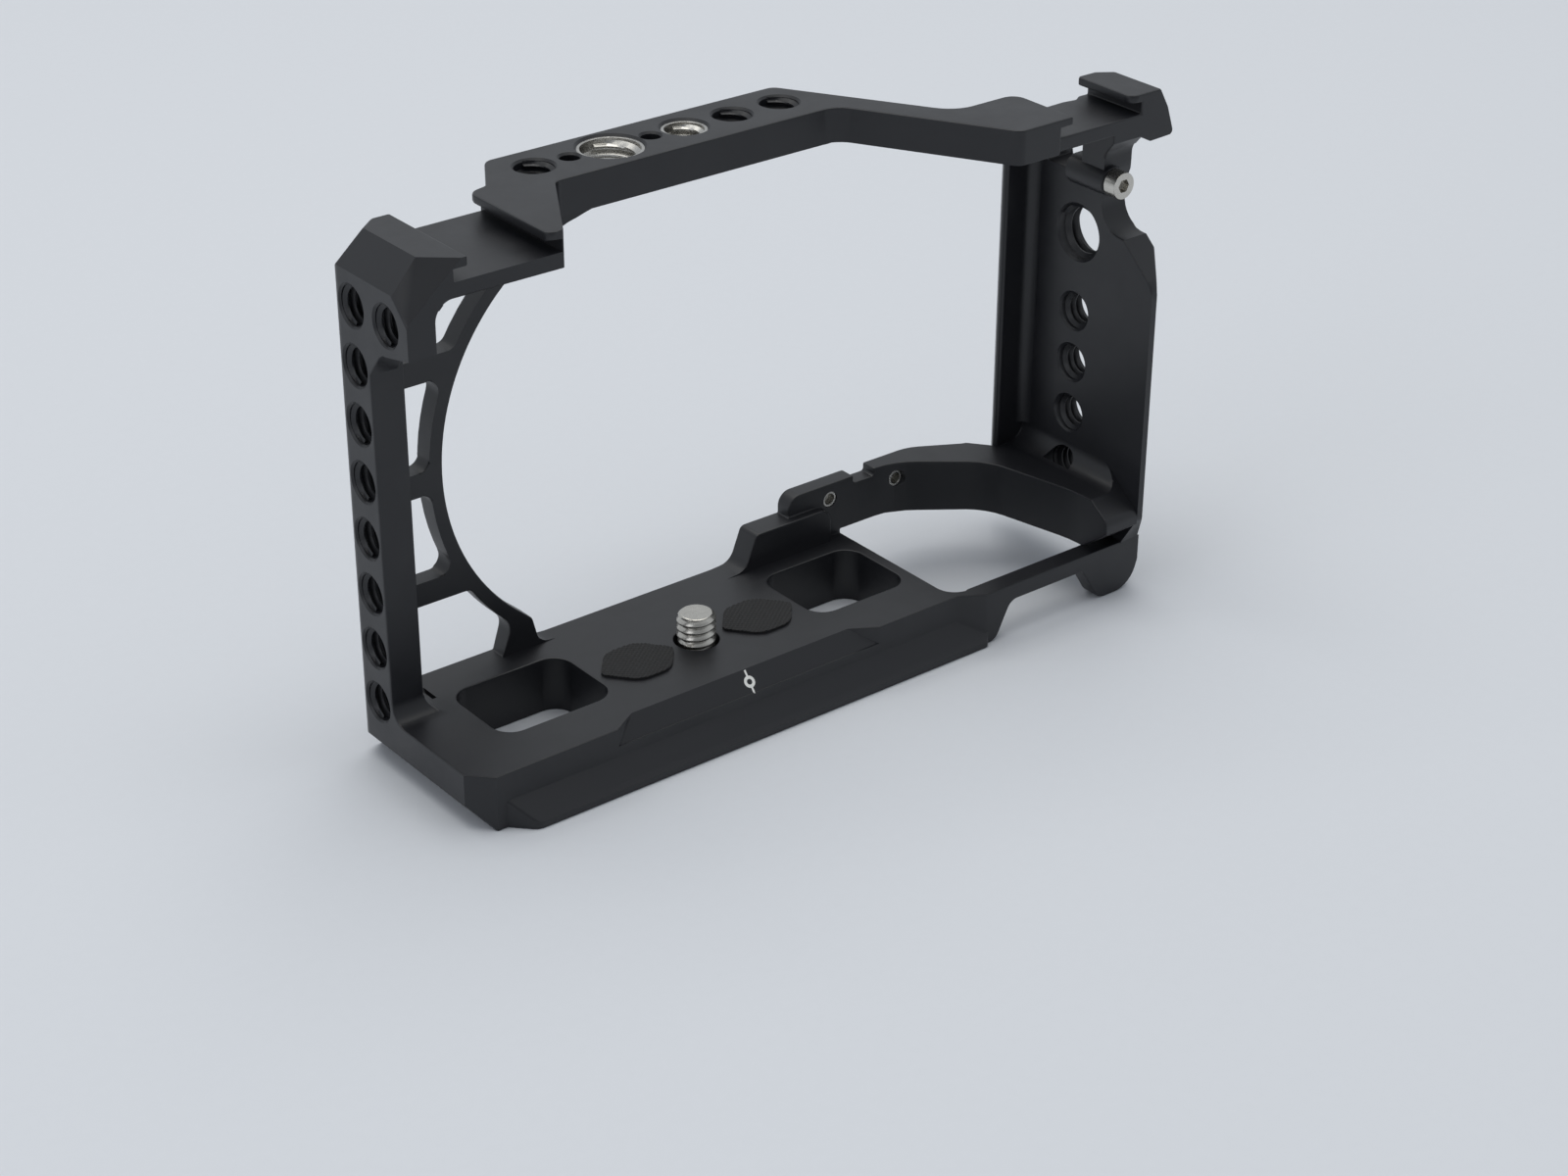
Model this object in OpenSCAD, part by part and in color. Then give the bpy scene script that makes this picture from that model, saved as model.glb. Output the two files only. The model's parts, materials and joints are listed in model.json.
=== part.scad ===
// Camera cage for a compact mirrorless camera.
// Origin: axis of the camera screw, at the underside of the base.
// +X runs from the post to the grip side, +Y to the lens side, +Z up.

/* [Camera bay] */
// Clear width between the left post and the right side plate
bay_w = 123.6; // [118:0.2:130]
// Clear height between the base and the top bridge
bay_h = 71.5; // [69:0.5:76]
// Distance from the camera screw to the inner face of the left post
screw_to_left = 46.5; // [44:0.5:49]
// Height of the lens axis above the seat
lens_z = 35.1; // [34:0.1:36]
// Inner radius of the arch beside the lens
lens_r = 37; // [35:0.5:38]
// Width of the arch's rim
rim_w = 2.4; // [2:0.1:3.2]
// Distance from the camera screw to the front face
front_y = 17.5; // [16.5:0.5:19]

/* [Base plate] */
// Thickness of the base plate
base_t = 9.5; // [8.5:0.5:11]
// Distance from the camera screw to the edge of the dovetail lip
lip_y = 18.8; // [18.2:0.1:19.4]
// Height of the dovetail lip's upright edge
lip_t = 1.2; // [0.8:0.1:1.8]
// Depth of the dovetail's 45 degree side
dovetail_depth = 3.5; // [3:0.1:4]
// Length of the window beside the camera screw on the left
window_left_len = 20.8; // [14:0.2:23]
// Length of the window beside the camera screw on the right
window_right_len = 19.3; // [14:0.1:20]
// Distance from the camera screw to each window
window_gap = 20.25; // [18.5:0.25:22]
// Width of both windows, front to back
window_w = 15.8; // [12:0.2:18]
// Distance from the camera screw to the battery opening
battery_x = 41.8; // [41:0.1:44]
// Depth of the bevel between the rear notches
bevel_depth = 2.8; // [2:0.1:3.4]
// Height of the bevel between the rear notches
bevel_h = 3.3; // [2.5:0.1:4]
// Length of the bevel's foot between the rear notches
bevel_len = 52; // [40:1:60]
// Height of the front stop above the base
stop_h = 6.3; // [4:0.1:8]
// Thickness of the front stop
stop_t = 4.6; // [3.6:0.1:5]

/* [Grip loop] */
// Height of the loop above the base
loop_h = 10; // [8:0.5:11]
// Thickness of the loop's front wall
loop_t = 3.1; // [2.6:0.1:3.6]
// Gap between the loop's lower edge and the plane of the seat
loop_lift = 0.6; // [0:0.1:1.2]
// Width of the ledge between the loop and the right side plate
ledge_w = 7.1; // [6:0.1:8]
// Height of the rear rail
rail_t = 3; // [2.5:0.1:4]
// Thickness of the rear rail, front to back
rail_w = 3.4; // [3:0.1:3.8]
// Width of the foot at the end of the rear rail
foot_w = 12.9; // [11:0.1:15]
// Diameter of the two holes in the loop's wall
loop_hole_d = 2.9; // [2.4:0.1:3.2]

/* [Left post] */
// Thickness of the post
post_t = 5.7; // [5:0.1:7]
// Depth of the post, front to back
post_w = 9.8; // [9:0.1:10.6]
// Distance between neighbouring holes of the post and of the side plate
hole_pitch = 9.4; // [9.2:0.05:9.6]
// Height of the post's lowest hole above the base
post_hole_lift = 1.7; // [1.2:0.1:2.4]
// Radius of the fillet at the foot of the post
foot_r = 3.2; // [2:0.1:4]

/* [Top bridge] */
// Thickness of the bridge
bridge_t = 5.9; // [5.5:0.1:7]
// Width of the bar, front to back
bar_w = 13.7; // [12.5:0.1:15]
// Distance from the camera screw to the middle of the bar
bar_y = 20.25; // [19.5:0.05:21]
// Distance of the first quarter inch hole from the middle hole
bar_first = 14.1; // [13.6:0.1:14.6]
// Distance from the middle hole to each locating hole
locating_x = 7.62; // [7.2:0.01:8]
// Diameter of a locating hole
locating_d = 3.2; // [2.6:0.1:3.6]
// Width of the bent leg towards the right shoe
leg_w = 5.6; // [4.8:0.1:6.2]

/* [Cold shoes] */
// Clear width between the two lips of a shoe
shoe_gap = 13.6; // [13:0.1:14]
// Width of the groove under the lips
shoe_groove = 18.6; // [18.2:0.1:19]
// Height of the groove under the lips
shoe_slot = 2; // [1.9:0.05:2.3]
// Thickness of the floor of a shoe
shoe_floor = 2.5; // [2:0.1:3]
// Distance from the post's inner face to the middle of the left shoe
left_shoe_inset = 11.7; // [11:0.1:12.4]
// Distance from the side plate's inner face to the middle of the right shoe
right_shoe_inset = 5.1; // [4.5:0.1:6]
// Distance from the camera screw to the left shoe's rear end
left_shoe_rear = 3.2; // [2.8:0.1:4]
// Length of the right shoe
right_shoe_len = 12; // [10.5:0.1:13]

/* [Right side] */
// Thickness of the right side plate
plate_t = 5.3; // [4.5:0.1:6.5]
// Distance from the camera screw to the side plate's rear edge
plate_rear = 21.3; // [20.6:0.1:22]
// Distance from the side plate's top to the end of its straight rear edge
plate_slant_h = 18.2; // [17.2:0.2:21.2]
// Distance from the bridge's underside to the side plate's top
plate_drop = 5.8; // [5.4:0.1:6.4]
// Depth of the pillar, front to back
pillar_w = 9.8; // [8:0.1:10.4]
// Width of the pillar inside the side plate
pillar_t = 6.1; // [5:0.1:6.6]
// Height of the side plate's lowest hole above the base
plate_hole_lift = 9.6; // [9.2:0.1:10.4]
// Distance from the top quarter inch hole to the three eighths hole
plate_big_step = 14.1; // [13.6:0.1:14.6]
// Distance from the camera screw to the side plate's holes, to the rear
plate_hole_y = 3.4; // [2.6:0.1:4.4]
// Outer radius of the eyelet's barrel
barrel_r = 2.5; // [2.2:0.1:2.9]
// Length of the eyelet's barrel
barrel_len = 8.8; // [8.3:0.1:10]
// Width of the strap slot
strap_slot = 9.6; // [8:0.1:10.4]

/* [Threads] */
// Major diameter of the quarter inch threads
quarter_d = 6.35; // [6.2:0.05:6.5]
// Major diameter of the three eighths threads
big_d = 9.525; // [9.2:0.025:9.8]
// Width of the chamfer at the mouth of each tapped hole
mouth = 0.35; // [0.1:0.05:0.5]

/* [Camera screw] */
// Length of thread that stands above the seat
screw_reach = 4.85; // [4:0.05:5.5]
// Diameter of the screw's plain neck below the thread
screw_neck_d = 6; // [5.6:0.1:6.1]
// Diameter of the screw's head
screw_head_d = 12.6; // [11:0.1:13.4]
// Height of the screw's head
screw_head_h = 2.2; // [1.8:0.1:2.4]
// Width of the slot across the screw's head
screw_slot_w = 1.6; // [1.2:0.1:2]
// Depth of the slot in the screw's head
screw_slot_depth = 1.2; // [0.8:0.1:1.5]
// Thickness of the nylon washer on the screw
washer_t = 0.6; // [0.4:0.1:0.8]
// Clearance of the washer's bore around the screw
washer_clearance = 0.05; // [0.03:0.01:0.09]
// Depth of the counterbore under the base
counterbore_depth = 5.6; // [5.2:0.1:6]
// Clearance around the screw's head in the counterbore
head_clearance = 0.7; // [0.4:0.1:1]
// Clearance of the hole around the screw
screw_clearance = 0.52; // [0.3:0.02:0.8]
// Thickness of the snap ring under the screw
ring_t = 0.8; // [0.6:0.1:1]
// Depth of the snap ring's groove
ring_groove = 0.7; // [0.4:0.1:1]
// Height of the groove above the underside
ring_z = 0.8; // [0.6:0.1:1]

/* [Small parts] */
// Length of a rubber pad
pad_len = 14.35; // [12:0.05:14.6]
// Width of a rubber pad
pad_w = 10.2; // [8:0.2:12]
// Thickness of a rubber pad
pad_t = 0.5; // [0.3:0.1:0.8]
// Distance from the camera screw to the middle of each pad
pad_x = 12; // [11.8:0.1:12.2]
// Diameter of the eyelet screw's head
eye_head_d = 4.5; // [4:0.1:4.8]
// Height of the eyelet screw's head
eye_head_h = 2.5; // [2:0.1:3]
// Width across the flats of the eyelet screw's socket
eye_hex = 2; // [1.5:0.1:2.2]
// Major diameter of the eyelet screw's thread
eye_screw_d = 2.5; // [2:0.1:2.6]
// Length of the eyelet screw's thread
eye_screw_len = 7.2; // [6:0.1:7.5]
// Width of the line of the centre mark
mark_line = 0.35; // [0.25:0.05:0.5]
// Depth of the centre mark's groove
mark_depth = 0.2; // [0.15:0.05:0.3]
// Wall of the steel thread insert
insert_wall = 0.55; // [0.4:0.05:0.8]

/* [Hidden] */
$fn = 64;

anodised = "#1d1e22";
steel = "#b9bcc0";
nylon = "#dfe0dc";
rubber = "#121213";

over = 1;             // length by which a cut runs past a face
arc_step = 11;        // angle of one chord of a rounded corner
fit = 0.05;           // radial clearance of a running fit
toe = 0.25;           // height of the thin toe of a ramp that runs out on the base

left_in = -screw_to_left;
left_out = left_in - post_t;
right_in = left_in + bay_w;
right_out = right_in + plate_t;
bridge_z = base_t + bay_h;
top_z = bridge_z + bridge_t;
axis_z = base_t + lens_z;
plate_top = bridge_z - plate_drop;
plate_edge_z = plate_top - plate_slant_h;
plate_hole_z = base_t + plate_hole_lift;
left_shoe_x = screw_to_left - left_shoe_inset;
right_shoe_x = right_in - right_shoe_inset;

waist_y = lip_y - dovetail_depth;
waist_z = lip_t + dovetail_depth;
base_corner = front_y - waist_y;      // run of the bevel over the front dovetail
base_notch = 3.5;                     // plan chamfer at the base's left rear corner
base_round = 3.6;                     // bevel along the base's left lower edge
base_rise = 4;                        // height of that bevel
base_blend = 4.3;                     // radius between the bevel and the underside
flange_slope = 4.5;                   // length of the dovetail lips' slanted left ends
flange_r = 2.5;                       // radius of the lips' corners
flange_root = left_out + base_notch + 1.7;
flange_left = flange_root + flange_slope;
flange_right = battery_x + 4.6;
rail_start = battery_x + 5.2;
window_r = 3.5;
window_y = 1.7;                       // middle of both windows, to the front
rail_rear = lip_y - 1;
rail_z = base_t - rail_t;
rail_root = battery_x + 0.7;
rail_neck = 4;                        // plan length of the slope from the base to the rail
rail_ramp = [2, 5.2];                 // ends of the rail's underside slope
rail_r = 2.2;
foot_x = right_out - 1;
foot_slope = 4;
heel_r = [1, 3, 5];                   // radii of the foot's three corners
bevel_top = waist_y - bevel_depth;
bevel_angle = atan2(bevel_h, bevel_depth);
bevel_slope = norm([bevel_h, bevel_depth]);
bevel_run = 4.5;                      // plan length of each notch at the bevel's ends
bevel_shift = -0.4;

stop_x = 20;
stop_ramp = 4;
stop_slope = 2.4;
stop_r = [3, 1.2, 2.5];               // radii of the stop's corners
stop_len = 18.5;
stop_rear = front_y - stop_t;

loop_start = 11.5;
loop_x = battery_x - loop_start;
loop_z = base_t + loop_h;
loop_front = front_y - loop_t;
ledge_x = right_in - ledge_w;
ledge_fillet = ledge_w / 2;
pillar_x = right_in - pillar_t;
pillar_rear = front_y - pillar_w;
loop_hole_x = [battery_x - 2.4, battery_x + 0.415 * (ledge_x - battery_x)];
loop_hole_sink = [0, 0.9];            // depth of each hole's mouth in the curved wall
bush_proud = [0.2, -0.5];             // place of each bush's mouth in the wall
bush_wall = 0.45;
bush_floor = 0.5;
loop_hole_z = loop_z - 3;
loop_hole_depth = 2.2;
loop_turn = [3.8, 13.1, 10];          // middle of the inner bend, from the ledge and the front
loop_turn_r = 12;
loop_tail = 30;
loop_end_y = front_y - loop_tail;     // rear end of the inner bend
loop_end_r = 20;
loop_outer = [12, 8];                 // start and radius of the outer bend
loop_elbow = [3, 5, 4];               // corner of the outer bend beside the pillar
loop_top_r = 2.5;
loop_notch = [2.7, 4.5, 1.4, 0.5];    // place, width, depth and radius of the notch
ledge_run = 10;
ledge_rear = [4.9, 2, 3, 2];          // bevels at the ledge's rear end
ledge_rise = [6, 0.5, 6];

post_rear = front_y - post_w;
post_hole_inset = 5.65;
post_hole_y = front_y - post_hole_inset;
post_hole_z = base_t + post_hole_lift;
post_holes = floor((bridge_z - post_hole_z - quarter_d / 2) / hole_pitch) + 1;
post_top_z = post_hole_z + (post_holes - 1) * hole_pitch;
post_round = 2.5;
base_corner_r = 1;
foot_inner_r = foot_r - 0.4;
tap_drill_r = 2.55;
tap_run = 3.6;

quarter_r = quarter_d / 2;
big_r = big_d / 2;

arch_t = 3.4;
rim_r = lens_r + rim_w;
strut_t = 4;
strut_pitch = 18.5;
strut_shift = -0.6;                   // height of the middle strut above the lens axis
strut_z = [for (i = [-1:1]) axis_z + strut_shift + i * strut_pitch];
arch_corner = 2;
corner_run = 2.4;                     // height of a window's rounded rim corner
arch_end = 0.4;                       // height left of the rim where it meets the bridge
rim_top = min(bridge_z, axis_z + 0.93 * rim_r);
arch_foot_h = 8;
arch_foot_z = base_t + arch_foot_h;   // height where the foot leaves the rim
arch_foot_x = -sqrt(pow(lens_r, 2) - pow(axis_z - arch_foot_z - 0.4, 2));
arch_shin = [3.8, 5, 1.6];            // the foot's bend towards the lens
arch_toe = [5, 8, 2.2];               // ends and radius of the foot's toe
arch_heel = [2.7, 2.5];               // the foot's bend towards the post

bar_rear = bar_y - bar_w / 2;
bar_front = bar_y + bar_w / 2;
bar_hole_y = bar_y + 0.4;
bridge_split = bar_first + 2 * hole_pitch + 4;
leg_bend = bridge_split + 1.9;
bar_step = [3.7, 0.9, 9.2];           // plan steps of the bar's left end, to the front
bar_back = [12.8, 2.7];               // plan ends of the bar's left end, to the rear
bar_r = [2.2, 1.2, 2.4, 2.2];         // radii of the bar's front corners
leg_r = [6, 2.5, 2, 4.5, 2];          // radii of the leg's corners
shoe_corner_r = [0.6, 1.4];

groove_z = bridge_z + shoe_floor;
lip_z = groove_z + shoe_slot;
left_lip_x = -left_shoe_x - shoe_gap / 2;
left_wall_x = -left_shoe_x - shoe_groove / 2;
left_slot_x = -left_shoe_x + shoe_gap / 2;
left_joint_x = -left_shoe_x + shoe_groove / 2;
right_slot_x = right_shoe_x - shoe_gap / 2;
right_joint_x = right_shoe_x - shoe_groove / 2;
right_lip_x = right_shoe_x + shoe_gap / 2;
right_wall_x = right_shoe_x + shoe_groove / 2;
right_shoe_rear = 12.3;
right_shoe_front = right_shoe_len - right_shoe_rear;
shoe_stop = 0.8;                      // thickness of the web that closes the right shoe
leg_rear = right_shoe_rear + 1;
leg_run = 0.58 * (right_slot_x - leg_bend);
horn = [[2.3, 0], [2.6, -2.7], [7.8, -2.5]];    // underside of the shoe's outer horn
horn_top = [6.1, 4.2];                // outer edge of the horn at the groove and at the top
horn_plan = [9, 4.5, 1.5, 0.6];       // plan of the horn and of the lip's front corner
horn_r = [0.8, 2, 1.5];
lip_r = 1.8;                          // radius of the lip's rear corner

boss_t = 4.9;
boss_step = 9.25;                     // distance of the boss hole from the post's top hole
boss_under = [3.6, 5.2, 9.5];         // the boss's underside, below its hole
boss_slope = 3.3;
corner_r = 3;
shoulder_bevel = 4.6;                 // bevel along the shoe's outer top edge
end_cut_tilt = 53.3;
end_cut_turn = 129.9;
end_cut_rear = 0.3;
end_cut_front = 7.7;

scallop_r = 5;
scallop_y = -13.5;
scallop_h = 6.4;                      // height of the slanted rear edge below the scallop
scallop_step = 0.6;
plate_edge_r = 4;
plate_foot = [5.5, 2];                // lower rear corner of the plate
plate_front_r = 1.5;
pillar_r = [0.6, 0.4, 2];
plate_bevel = [4.1, 5.3];             // run of the bevel along the plate's outer rear edge
pillar_edge = 1;                      // width of the pillar's inner face
pillar_cut = 2;                       // run of the cut along the plate's front inner edge
slot_floor = 3.3;                     // depth of the strap slot's floor below the plate's top
drill_run = 2.4;                      // reach of the plate's lowest hole into the loop's fillet
plate_hole_row = [for (i = [0:3]) plate_hole_z + i * hole_pitch];
plate_big_z = plate_hole_z + 3 * hole_pitch + plate_big_step;

neck_x = right_in - 1.7;
neck_t = 6.3;
neck_len = 7.1;
neck_front = neck_len - right_shoe_rear;
horn_root = right_wall_x - horn[0].x;
neck_flare = (neck_x + neck_t - horn_root) * -horn[1].y / (horn[1].x + horn[0].x);
web_x = [right_in - 1.9, right_lip_x - horn_plan[3]];
web_rise = [2.3, 2.6, 4];             // the shoulder's hollow above the plate
web_top = [0.8, 0.3, 4];
web_slot = [2.2, 0.4, 2.6, 1.5];      // the strap slot's upper front corner
barrel_x = right_in - 0.3;
barrel_z = plate_top - barrel_r;
barrel_front = -2.4;
bore_end = 0.7;                       // free depth of the eyelet's bore beyond the screw
barrel_rear = barrel_front - barrel_len;
slot_front = neck_front + strap_slot;
neck_rear = barrel_rear + 0.8;        // the neck's rear edge above the barrel
neck_lean = 1.7;                      // height where the neck's rear edge leaves the scallop
neck_toe = 0.6;                       // height of the neck's lower end above the scallop's bend
neck_rise = [1.3, 3.5, 2.5];          // the bend of the neck's rear edge under the shoe
neck_edge = [[neck_front, bridge_z], [-right_shoe_rear, bridge_z],
    [-right_shoe_rear, bridge_z - neck_rise[0]],
    [neck_rear, bridge_z - neck_rise[1], neck_rise[2]]];

screw_r = quarter_d / 2;
neck_r = screw_neck_d / 2;
thread_z = base_t + 0.1;              // lower end of the screw's thread, just above the seat
counterbore_r = screw_head_d / 2 + head_clearance;
washer_top = counterbore_depth - fit;
head_top = washer_top - washer_t;
head_bottom = head_top - screw_head_h;
screw_tip = base_t + screw_reach;
screw_hole_r = screw_r + screw_clearance;
groove_r = counterbore_r + ring_groove;
screw_point = 0.6;                    // chamfer at the screw's tip
ring_lap = 0.9;                       // lap of the snap ring under the screw's head
ring_in = screw_head_d / 2 - ring_lap;
ring_gap = 8;

pad_y = -0.5;
pad_taper = 4.2;                      // length of the pad's pointed ends
pad_r = [1.2, 4];
socket_depth = 1.3;

mark_margin = 0.3;
mark_len = bevel_slope - mark_margin;
mark_ring_r = 1;
mark_hole_r = 0.47;

function unit(v) = v / norm(v);

// Corner p between a and b, rounded to radius r
function corner(a, p, b, r) =
    let (
        u = unit(a - p),
        w = unit(b - p),
        half = acos(u * w) / 2,
        c = p + unit(u + w) * r / sin(half),
        s = p + u * r / tan(half) - c,
        e = p + w * r / tan(half) - c,
        start = atan2(s.y, s.x),
        turn = atan2(s.x * e.y - s.y * e.x, s * e),
        n = ceil(abs(turn) / arc_step)
    )
    [for (i = [0:n]) c + r * [cos(start + turn * i / n), sin(start + turn * i / n)]];

function at(p) = [p.x, p.y];

// Outline through points [x, y] or [x, y, corner radius]
function rounded(pts) =
    let (n = len(pts))
    [for (i = [0:n - 1])
        each len(pts[i]) < 3
            ? [at(pts[i])]
            : corner(at(pts[(i + n - 1) % n]), at(pts[i]), at(pts[(i + 1) % n]), pts[i][2])];

// Points on a circle from angle a to angle b
function arc(c, r, a, b) =
    let (n = ceil(abs(b - a) / 4))
    [for (i = [0:n]) c + r * [cos(a + (b - a) * i / n), sin(a + (b - a) * i / n)]];

// An outline drawn from above, from z0 to z1
module plan(pts, z0, z1)
    translate([0, 0, z0])
    linear_extrude(z1 - z0)
    polygon(rounded(pts));

// An outline drawn in (y, z), from x0 to x1
module side(pts, x0, x1)
    translate([x0, 0, 0])
    rotate([90, 0, 90])
    linear_extrude(x1 - x0)
    polygon(rounded(pts));

// An outline drawn in (x, z), from y0 to y1
module front(pts, y0, y1)
    translate([0, y1, 0])
    rotate([90, 0, 0])
    linear_extrude(y1 - y0)
    polygon(rounded(pts));

module box(low, high)
    translate(low)
    cube(high - low);

// A hole along +Z with a chamfered mouth at both ends of the wall
module tapped(r, wall) {
    translate([0, 0, -over])
        cylinder(r = r, h = wall + 2 * over);
    for (end = [0, 1])
        translate([0, 0, end * wall])
        mirror([0, 0, end])
        translate([0, 0, -over])
        cylinder(r1 = r + mouth + over, r2 = r, h = mouth + over);
}

module tapped_x(y, z, r, x0, x1)
    translate([x0, y, z])
    rotate([0, 90, 0])
    tapped(r, x1 - x0);

function window(x0, x1) = [
    [x0, window_y - window_w / 2, window_r],
    [x1, window_y - window_w / 2, window_r],
    [x1, window_y + window_w / 2, window_r],
    [x0, window_y + window_w / 2, window_r]];

// The sloping face between the rear notches, with its top edge on the x axis
module on_bevel()
    translate([0, -bevel_top, base_t])
    rotate([bevel_angle, 0, 0])
    children();

module mark_shape() {
    difference() {
        circle(r = mark_ring_r);
        circle(r = mark_hole_r);
    }
    for (end = [-1, 1])
        translate([-mark_line / 2, end > 0 ? mark_ring_r - mark_line / 2 : -mark_len / 2])
        square([mark_line, mark_len / 2 - mark_ring_r + mark_line / 2]);
}

module mark_body(extra)
    on_bevel()
    translate([0, -bevel_slope / 2, -mark_depth])
    linear_extrude(mark_depth + extra)
    mark_shape();

module left_edge_cut()
    front([[left_out - over, -over], [left_out + base_round, -over],
        [left_out + base_round, 0, base_blend], [left_out, base_rise],
        [left_out - over, base_rise]], -lip_y - over, front_y + over);

// The plane that bevels both ends of the left shoe's outer corner
module shoe_end_cut(p, turn)
    translate(p)
    rotate([0, end_cut_tilt, turn])
    translate([-lip_y, -lip_y, 0])
    cube(2 * lip_y);

module base_plate() color(anodised) difference() {
    union() {
        intersection() {
            side([[-lip_y, 0], [lip_y, 0], [lip_y, lip_t], [waist_y, waist_z],
                [front_y, waist_z + base_corner], [front_y, base_t], [-waist_y, base_t],
                [-waist_y, waist_z], [-lip_y, lip_t]], left_out, rail_start);
            plan([[left_out, base_notch - waist_y], [left_out + base_notch, -waist_y],
                [flange_root, -waist_y],
                [flange_left - 1.2, -lip_y, flange_r], [flange_right, -lip_y, 0.6],
                [rail_start, -rail_rear], [rail_start, rail_w - rail_rear],
                [battery_x, rail_w - rail_rear, window_r], [battery_x, lip_y],
                [flange_left, lip_y, flange_r], [flange_root, waist_y],
                [left_out + post_round, front_y, base_corner_r],
                [left_out, front_y - post_round]],
                0, base_t);
        }
        plan([[rail_root, -waist_y], [rail_root + rail_neck, -rail_rear],
            [rail_start, -rail_rear],
            [rail_start, rail_w - rail_rear], [rail_root, rail_w - rail_rear]], 0, base_t);
    }
    left_edge_cut();
    box([left_out - over, post_rear, -over], [left_in, front_y + over, base_t + over]);
    plan(window(-window_gap - window_left_len, -window_gap), -over, base_t + over);
    plan(window(window_gap, window_gap + window_right_len), -over, base_t + over);
    cylinder(r = screw_hole_r, h = 3 * base_t, center = true);
    translate([0, 0, -over])
        cylinder(r = counterbore_r, h = counterbore_depth + over);
    translate([0, 0, ring_z])
        cylinder(r = groove_r, h = ring_t + 2 * fit);
    intersection() {
        side([[-waist_y - over, base_t + over], [-bevel_top + over, base_t + over],
            [-bevel_top, base_t], [-waist_y, base_t - bevel_h],
            [-waist_y - over, base_t - bevel_h]], left_in, battery_x);
        plan([[bevel_shift - bevel_len / 2, -waist_y - over],
            [bevel_shift + bevel_len / 2, -waist_y - over],
            [bevel_shift + bevel_len / 2, -waist_y],
            [bevel_shift + bevel_len / 2 - bevel_run, -bevel_top],
            [bevel_shift + bevel_len / 2 - bevel_run, over - bevel_top],
            [bevel_shift - bevel_len / 2 + bevel_run, over - bevel_top],
            [bevel_shift - bevel_len / 2 + bevel_run, -bevel_top],
            [bevel_shift - bevel_len / 2, -waist_y]], rail_z, base_t + over);
    }
    mark_body(over);
    translate([left_in, post_hole_y, post_hole_z])
        rotate([0, 90, 0])
        cylinder(r = tap_drill_r, h = tap_run);
}

module front_stop() color(anodised) difference() {
    front([[stop_x - stop_ramp, base_t], [stop_x, base_t + toe, stop_r[0]],
        [stop_x + stop_slope, base_t + stop_h, stop_r[1]],
        [stop_x + stop_len, base_t + stop_h, stop_r[2]],
        [stop_x + stop_len, base_t]], stop_rear, front_y);
    box([loop_x, loop_front, base_t - over],
        [stop_x + stop_len + over, front_y + over, loop_z]);
}

module grip_loop() color(anodised) difference() {
    intersection() {
        plan([[loop_x, loop_front], [loop_hole_x[1], loop_front, loop_turn_r],
            [ledge_x - loop_turn[0], front_y - loop_turn[1], loop_turn[2]],
            [ledge_x, loop_end_y, loop_end_r], [ledge_x, -plate_rear],
            [right_in, -plate_rear], [right_in, pillar_rear], [pillar_x, pillar_rear],
            [pillar_x, pillar_rear + pillar_edge],
            [pillar_x - loop_elbow[0], front_y - loop_elbow[1], loop_elbow[2]],
            [pillar_x - loop_outer[0], front_y, loop_outer[1]], [loop_x, front_y]],
            base_t, loop_z + ledge_fillet);
        union() {
            front([[loop_x, base_t], [battery_x, base_t], [battery_x, base_t + loop_lift],
                [pillar_x, base_t + loop_lift], [pillar_x, loop_z],
                [loop_x, loop_z, loop_top_r]], pillar_rear, front_y);
            intersection() {
                front([[ledge_x - ledge_run, base_t + loop_lift],
                    [right_in, base_t + loop_lift],
                    [right_in, loop_z + ledge_fillet],
                    each arc([right_in - ledge_fillet, loop_z + ledge_fillet],
                        ledge_fillet, 0, -90),
                    [ledge_x - ledge_run, loop_z]], -plate_rear, pillar_rear);
                side([[pillar_rear, base_t + loop_lift],
                    [-rail_rear + ledge_rear[1], base_t + loop_lift],
                    [-plate_rear, base_t + ledge_rear[0]],
                    [-plate_rear, loop_z - ledge_rear[2], ledge_rear[3]],
                    [-rail_rear, loop_z - ledge_rise[1], ledge_rise[2]],
                    [-rail_rear + ledge_rise[0], loop_z + ledge_fillet + over],
                    [pillar_rear, loop_z + ledge_fillet + over]],
                    ledge_x - ledge_run, right_in);
            }
        }
    }
    translate([battery_x + loop_notch[0], 0, loop_z])
        front([[0, over], [0, -loop_notch[2], loop_notch[3]],
            [loop_notch[1], -loop_notch[2], loop_notch[3]], [loop_notch[1], over]],
            loop_front - over, front_y + over);
    loop_holes(loop_hole_d / 2, over);
    translate([right_in - drill_run, -plate_hole_y, plate_hole_z])
        rotate([0, 90, 0])
        cylinder(r = quarter_r, h = drill_run + over);
}

// The two small holes in the loop's inner wall
module loop_holes(r, extra)
    for (i = [0, 1])
        translate([loop_hole_x[i], loop_front - loop_hole_sink[i] - extra, loop_hole_z])
        rotate([-90, 0, 0])
        cylinder(r = r, h = loop_hole_depth + extra + loop_hole_sink[i]);

module rear_rail() color(anodised) {
    front([[rail_start, 0], [rail_start + rail_ramp[0], 0, rail_r],
        [rail_start + rail_ramp[1], rail_z, rail_r],
        [foot_x - foot_w, rail_z, heel_r[0]], [foot_x - foot_w + foot_slope, 0, heel_r[1]],
        [foot_x, 0, heel_r[2]], [foot_x, base_t], [rail_start, base_t]],
        -rail_rear, rail_w - rail_rear);
}

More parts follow.
